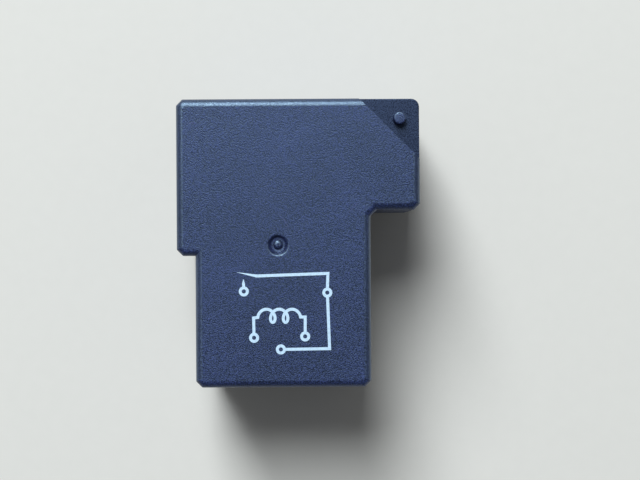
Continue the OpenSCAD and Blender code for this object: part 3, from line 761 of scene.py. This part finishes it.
class RELAY_OT_print(bpy.types.Operator):
    """Print the wiring diagram on the cover, and add the hairline scratches"""

    bl_idname = "relay.print"
    bl_label = "Print and scratches"

    def execute(self, context):
        sizes, finish = context.scene.relay_print, context.scene.relay_finish
        # What crosses lies a little higher than what it crosses
        line, over = sizes.line, sizes.film / 4
        bm = bmesh.new()

        # Blade of the switch, its line to the common pins, and the pin that it closes on
        blade = ((236.8, 272.3), (246, 274.0), (256.4, 276.0), (327.9, 273.4), (327.4, 289.4))
        stroke(bm, [on_top(*p) for p in blade], line, tip=3)
        stroke(bm, [on_top(*p) for p in ((327.5, 295.8), (329.6, 348.6), (284.2, 349.4))], line)
        stroke(bm, [on_top(*p) for p in ((243.4, 279.2), (243.5, 283.4), (243.7, 288.4))], line, tip=2)
        for px, py in ((243.8, 291.4), (327.3, 292.6), (280.9, 349.4), (254.1, 337.8), (305.2, 336.4)):
            ring(bm, on_top(px, py, over), sizes.dot, line)

        # Coil: a rolling curve of three humps, with loops between them and a lead at each end
        middle_x, middle_y, pitch, swing, rise = 279.2, 315.8, 12.8, 5.1, 6.6
        rolling = [math.pi * (0.5 + 5 * i / 120) for i in range(121)]
        humps = [
            on_top(
                middle_x + pitch * (a / math.tau - 1.5) - swing * math.sin(a),
                middle_y + rise * math.cos(a), over * i / 30,
            )
            for i, a in enumerate(rolling)
        ]
        left = [on_top(*p) for p in ((254.0, 334.6), (253.6, 318.0), (257.8, 317.4))]
        right = [on_top(*p, over * 4) for p in ((300.6, 317.0), (305.2, 317.0), (305.2, 333.2))]
        stroke(bm, left + humps + right, line)
        thicken(bm, sizes.film, sizes.film)

        # Pad printed ink: a thin matt film, a little uneven where the texture shows through
        ink, tree, shader, coords = start_material("Pad printing ink, pale", Roughness=0.55, IOR=1.48)
        patches = add(tree, "ShaderNodeTexNoise", {"Vector": coords, "Scale": per_mm(0.25), "Detail": 2.0})
        share = add(
            tree, "ShaderNodeMapRange", {"Value": patches.outputs["Fac"], "From Min": 0.3, "From Max": 0.6}
        )
        thin, full = shade(finish.ink, 0.84), shade(finish.ink, 1.04)
        tone = add(tree, "ShaderNodeMix", {0: share.outputs["Result"], 6: thin, 7: full}, data_type="RGBA")
        tree.links.new(tone.outputs[2], shader.inputs["Base Color"])
        finish_piece(bm, "wiring_diagram", [ink], "frame")

        # Hairline scratches and the weld line beside the gate
        marks = bmesh.new()
        for path in (
            ((186, 123.4), (190, 123), (195, 122.8)), ((232, 353.4), (241, 353.2), (250, 353.6)),
            ((331, 348.9), (338, 349.2), (345, 348.8)), ((346, 214), (352, 209), (357, 203)),
            ((277.5, 213.5), (284, 219.5), (289, 228.5)),
        ):
            stroke(marks, [on_top(*p) for p in path], sizes.scratch, tip=2)
        thicken(marks, sizes.film, sizes.film / 4)
        # Rubbed polyester: the same plastic, paler where its texture is worn off
        paler = 2.6
        rubbed = moulded_plastic(
            "Dark polyester, rubbed", [c * paler for c in finish.case], 0.24, 0.5, 0.01 * MM, 0.4, IOR=1.6
        )
        finish_piece(marks, "hairline_scratches", [rubbed], "frame")
        return {"FINISHED"}


class RELAY_OT_seal(bpy.types.Operator):
    """Cast the sealing resin round the pins, and finish the base"""

    bl_idname = "relay.seal"
    bl_label = "Resin and base"

    def execute(self, context):
        scene = context.scene
        sizes, cover, finish = scene.relay_seal, scene.relay_cover, scene.relay_finish
        inset = RESIN_LOW.x - COVER_LOW.x
        corners = case_outline(cover, inset)
        bm = bmesh.new()
        bm.faces.new([bm.verts.new((*c, RESIN_HIGH.z)) for c in corners])
        draw_to(bm, bm.faces[:], RESIN_LOW.z - sizes.creep)
        uprights = [e for e in bm.edges if upright(e) and (e.verts[0].co.xy - corners[7]).length > SAME]
        round_off(bm, uprights, cover.corner_cut - inset * (2 - math.sqrt(2)), 1)
        bmesh.ops.recalc_face_normals(bm, faces=bm.faces[:])

        # The face that shows dips away from the walls, and climbs again round each pin
        lower = min(bm.faces, key=lambda f: f.calc_center_median().z)
        for width, rise in ((0.08 * MM, 0.45), (0.14 * MM, 0.35), (0.25 * MM, 0.2)):
            bmesh.ops.inset_region(
                bm, faces=[lower], thickness=width, depth=-rise * sizes.creep, use_even_offset=True
            )
        # Half the width of each pin, and the stretch of the skirt round it
        forms = []
        for name, half, stretch in (
            ("coil_pin_a", sizes.collar / 2, (1, 1)), ("coil_pin_b", sizes.collar / 2, (1, 1)),
            ("load_pin", sizes.flat_pin / 2, (0.7, 1)), ("common_pin", sizes.flat_pin / 2, (0.7, 1)),
            ("yoke_pin", sizes.flat_pin / 2, (1, 1)),
        ):
            spot = Vector((*PINS[name].xy, RESIN_LOW.z))
            outer, inner = (half + sizes.skirt * 1.3, 0), (half * 0.6, -sizes.creep)
            skirt = [(half + sizes.skirt * (1 - s), -sizes.creep * s * s) for s in (0, 0.4, 0.7, 0.9)]
            forms.append((spot, stretch, [outer, *skirt, inner]))
        turned_forms(bm, lower, forms, 32)

        # Cast epoxy resin: smooth and glossy, with slow swells from its curing
        resin, tree, shader, coords = start_material("Epoxy resin, cast", Roughness=0.22, IOR=1.55)
        swell = add(tree, "ShaderNodeTexNoise", {"Vector": coords, "Scale": per_mm(2.5), "Detail": 1.0})
        dark, pale = shade(finish.resin, 0.7), shade(finish.resin, 1.35)
        tone = add(tree, "ShaderNodeMix", {0: swell.outputs["Fac"], 6: dark, 7: pale}, data_type="RGBA")
        relief = add(
            tree, "ShaderNodeBump", {"Height": swell.outputs["Fac"], "Strength": 0.5, "Distance": 0.1 * MM}
        )
        tree.links.new(tone.outputs[2], shader.inputs["Base Color"])
        tree.links.new(relief.outputs["Normal"], shader.inputs["Normal"])
        seal = finish_piece(bm, "cast_resin", [resin], "frame", math.radians(40))
        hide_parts("sealing_resin")

        # Glass filled polyester: a grey black with a fine grain from its fibres
        filled = moulded_plastic(
            "Glass filled polyester, moulded", finish.base, 0.35, 0.2, 0.01 * MM, 0.45, IOR=1.6
        )
        dress(filled, "base")
        return {"FINISHED"}


def wind(bm, centre, axis, start, wire, turns, pitch, steps=20):
    """Winds a round wire: a circle spun about an axis, with a step along it"""
    across = (start - centre).cross(axis).normalized()
    spot = Matrix((across.cross(axis), axis, -across)).transposed().to_4x4()
    circle = bmesh.ops.create_circle(
        bm, cap_ends=True, segments=8, radius=wire / 2, matrix=Matrix.Translation(start) @ spot
    )["verts"]
    section = circle + around(circle, "link_edges") + around(circle, "link_faces")
    bmesh.ops.spin(
        bm, geom=section, cent=centre, axis=axis, dvec=axis * pitch / steps,
        angle=turns * math.tau, steps=round(turns * steps),
    )


class RELAY_OT_coil(bpy.types.Operator):
    """Wind the coil and its ends, and finish the bobbin, the coil pins and their solder"""

    bl_idname = "relay.coil"
    bl_label = "Coil"

    def execute(self, context):
        sizes, finish = context.scene.relay_coil, context.scene.relay_finish
        wire, along = sizes.wire, Vector((0, 1, 0))
        middle = (CORE_LOW + CORE_HIGH) / 2
        back = Vector((middle.x, WINDING_LOW.y, middle.z))
        reach = WINDING_HIGH.y - WINDING_LOW.y - wire
        bm = bmesh.new()

        # One turn of the outer layer, then its copies along the coil
        first = back + Vector((sizes.coil_radius - wire / 2, wire / 2, 0))
        circle = bmesh.ops.create_circle(
            bm, segments=8, radius=wire / 2, matrix=Matrix.Translation(first)
        )["verts"]
        bmesh.ops.spin(
            bm, geom=circle + bm.edges[:], cent=back, axis=along, angle=math.tau, steps=40, use_merge=True
        )
        turn = bm.verts[:] + bm.edges[:] + bm.faces[:]
        turns = math.floor(reach / wire)
        for i in range(1, turns + 1):
            made = bmesh.ops.duplicate(bm, geom=turn)["geom"]
            bmesh.ops.translate(bm, verts=verts_of(made), vec=along * reach * i / turns)

        # The layers below it as one tube
        inside, outside = sizes.tube_radius, first.x - back.x
        corners = ((inside, 0), (outside, 0), (outside, reach + wire), (inside, reach + wire))
        tube = [bm.verts.new(back + Vector((radius, y, 0))) for radius, y in corners]
        sides = [bm.edges.new((tube[i - 1], tube[i])) for i in range(4)]
        bmesh.ops.spin(
            bm, geom=tube + sides, cent=back, axis=along, angle=math.tau, steps=64, use_merge=True
        )

        # Ends of the wire, led down and wrapped round the posts
        for pin in ("coil_pin_a", "coil_pin_b"):
            post = Vector((*PINS[pin].xy, POST_TOP - wire / 2))
            inner = post + Vector((math.copysign(sizes.wrap_radius, middle.x - post.x), 0, 0))
            wind(bm, post, -UP, inner, wire, turns=1.5, pitch=wire * 1.06)
            lead = bmesh.ops.create_circle(
                bm, cap_ends=True, segments=8, radius=wire / 2, matrix=Matrix.Translation(inner)
            )["verts"]
            draw_to(bm, around(lead, "link_faces"), POST_TOP + 3 * wire)

        # Enamelled copper: a warm metal seen through a clear, glossy coat
        copper, tree, shader, coords = start_material(
            "Enamelled copper wire", Metallic=0.85, Roughness=0.3, Coat_Weight=0.6, Coat_Roughness=0.12
        )
        lots = add(tree, "ShaderNodeTexNoise", {"Vector": coords, "Scale": per_mm(0.8), "Detail": 2.0})
        dark, pale = shade(finish.enamel, 0.7), shade(finish.enamel, 1.3)
        tone = add(tree, "ShaderNodeMix", {0: lots.outputs["Fac"], 6: dark, 7: pale}, data_type="RGBA")
        tree.links.new(tone.outputs[2], shader.inputs["Base Color"])
        coil = finish_piece(bm, "coil_wire", [copper], "frame", math.radians(50))
        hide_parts("winding")

        # Nylon of the bobbin: ivory and slightly waxy
        nylon = moulded_plastic("Nylon, moulded", finish.bobbin, 0.5, 0.06, 0.006 * MM, 0.38, IOR=1.53)
        dress(nylon, "bobbin")
        # Solder frozen on the posts: bright, with soft dimples
        dress(worked_metal("Tin solder, frozen", finish.tin, 0.18, 0.5), "lead_solder_a", "lead_solder_b")
        # Hot dipped pins: a pale grey metal with a soft flow along the pin
        dipped = worked_metal("Brass pin, hot tinned", finish.tin, 0.26, 0.25, (1, 1, 0.3))
        dress(dipped, "coil_pin_a", "coil_pin_b")
        return {"FINISHED"}


class RELAY_OT_magnet(bpy.types.Operator):
    """Finish the core, the yoke, the armature and their rivets"""

    bl_idname = "relay.magnet"
    bl_label = "Magnet"

    def execute(self, context):
        finish = context.scene.relay_finish
        # Turned soft iron under zinc: fine rings across the axis
        dress(worked_metal("Soft iron core, turned", finish.steel, 0.3, 0.12, (0.2, 1, 0.2)), "core")
        # Stamped sheet under zinc: a grey satin with rolling lines along the sheet
        dress(worked_metal("Iron sheet, zinc plated", finish.steel, 0.36, 0.3, (1, 0.15, 1)), "yoke")
        dress(worked_metal("Iron plate, zinc plated", finish.steel, 0.36, 0.3, (0.15, 1, 1)), "armature")
        # Brass rivets, headed cold: bright and almost plain
        headed = worked_metal("Brass rivet, headed", finish.brass, 0.24, 0.4)
        dress(headed, "armature_rivets", "yoke_rivets")
        return {"FINISHED"}


class RELAY_OT_contacts(bpy.types.Operator):
    """Make the blade spring, and finish the contacts and terminals"""

    bl_idname = "relay.contacts"
    bl_label = "Spring, contacts and terminals"

    def execute(self, context):
        finish = context.scene.relay_finish
        bm = bmesh.new()
        bm.from_mesh(frame["nodes"]["movable_spring"].data)
        bmesh.ops.remove_doubles(bm, verts=bm.verts[:], dist=SAME / 10)
        # Rolled spring bronze: a warm satin with fine lines along the strip
        bronze = worked_metal("Spring bronze, rolled", finish.bronze, 0.28, 0.11, (0.06, 0.06, 1))
        spring = finish_piece(bm, "blade_spring", [bronze])
        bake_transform(spring)
        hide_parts("movable_spring")

        # Silver alloy, coined: a pale satin, whiter than the plating
        silver = worked_metal("Silver alloy, coined", finish.silver, 0.22, 0.35)
        dress(silver, "fixed_contact", "moving_contact")
        # Copper strip, stamped, with the pin ends dipped in tin
        dipped = (finish.tin, RESIN_LOW.z)
        strip = worked_metal("Copper strip, stamped", finish.copper, 0.3, 0.15, (1, 1, 0.1), dipped)
        dress(strip, "load_terminal", "common_terminal")
        return {"FINISHED"}


class RELAY_OT_stage(bpy.types.Operator):
    """Set the floor, the soft light and the camera"""

    bl_idname = "relay.stage"
    bl_label = "Stage"

    def execute(self, context):
        scene, sizes = context.scene, context.scene.relay_stage
        bm = bmesh.new()
        ground = Matrix.Translation((0, 0, SOLID_BOX[0].z))
        bmesh.ops.create_grid(bm, x_segments=1, y_segments=1, size=sizes.floor_half, matrix=ground)
        # Matt card: pale and even, with a faint fleck of its pulp
        card, tree, shader, coords = start_material("Matt card, pale", Roughness=0.85, IOR=1.4)
        pulp = add(tree, "ShaderNodeTexNoise", {"Vector": coords, "Scale": per_mm(1.5), "Detail": 2.0})
        dark, pale = shade(sizes.floor, 0.97), shade(sizes.floor, 1.0)
        tone = add(tree, "ShaderNodeMix", {0: pulp.outputs["Fac"], 6: dark, 7: pale}, data_type="RGBA")
        tree.links.new(tone.outputs[2], shader.inputs["Base Color"])
        finish_piece(bm, "floor", [card])

        world = bpy.data.worlds.new("Soft room")
        world.use_nodes = True
        room = world.node_tree.nodes["Background"].inputs
        room["Color"].default_value, room["Strength"].default_value = (*sizes.room_tint, 1), sizes.room
        scene.world = world
        lamp = bpy.data.lights.new("Window", "AREA")
        lamp.shape, lamp.size, lamp.size_y = "RECTANGLE", sizes.window_width, sizes.window_height
        lamp.energy, lamp.color = sizes.window, sizes.daylight
        holder = bpy.data.objects.new("Window", lamp)
        holder.location = sizes.window_place
        holder.rotation_euler = (-holder.location).to_track_quat("-Z", "Y").to_euler()
        scene.collection.objects.link(holder)

        eye = bpy.data.cameras.new("Camera from above")
        eye.sensor_width = 36
        eye.lens = eye.sensor_width * sizes.distance / (PICTURE[0] * PIXEL)
        eye.clip_start, eye.clip_end = 0.01, 10
        camera = bpy.data.objects.new("Camera from above", eye)
        camera.location = picture_middle() + UP * sizes.distance
        camera.rotation_euler = (0, 0, -ROLL)
        scene.collection.objects.link(camera)
        scene.camera = camera
        scene.view_settings.view_transform = "Standard"
        return {"FINISHED"}


STEPS = [
    RELAY_OT_cover, RELAY_OT_print, RELAY_OT_seal, RELAY_OT_coil,
    RELAY_OT_magnet, RELAY_OT_contacts, RELAY_OT_stage,
]
SETTINGS = {
    "relay_cover": CoverSizes,
    "relay_print": PrintSizes,
    "relay_seal": SealSizes,
    "relay_coil": CoilSizes,
    "relay_finish": Finish,
    "relay_stage": StageSizes,
}


class RELAY_PT_panel(bpy.types.Panel):
    """List the steps that build the relay, with its sizes and colours"""

    bl_idname = "RELAY_PT_panel"
    bl_label = "Sealed Power Relay"
    bl_space_type = "VIEW_3D"
    bl_region_type = "UI"
    bl_category = "Relay"

    def draw(self, context):
        for step in STEPS:
            self.layout.operator(step.bl_idname)
        for name, kind in SETTINGS.items():
            box = self.layout.box()
            box.label(text=kind.__doc__)
            for key in kind.__annotations__:
                box.prop(getattr(context.scene, name), key)


CLASSES = [*SETTINGS.values(), *STEPS, RELAY_PT_panel]


def register():
    for kind in CLASSES:
        bpy.utils.register_class(kind)
    for name, kind in SETTINGS.items():
        setattr(bpy.types.Scene, name, PointerProperty(type=kind))


def unregister():
    for name in SETTINGS:
        delattr(bpy.types.Scene, name)
    for kind in reversed(CLASSES):
        bpy.utils.unregister_class(kind)


def main():
    register()
    bpy.ops.relay.cover()
    bpy.ops.relay.print()
    bpy.ops.relay.seal()
    bpy.ops.relay.coil()
    bpy.ops.relay.magnet()
    bpy.ops.relay.contacts()
    bpy.ops.relay.stage()


if __name__ == "__main__":
    main()
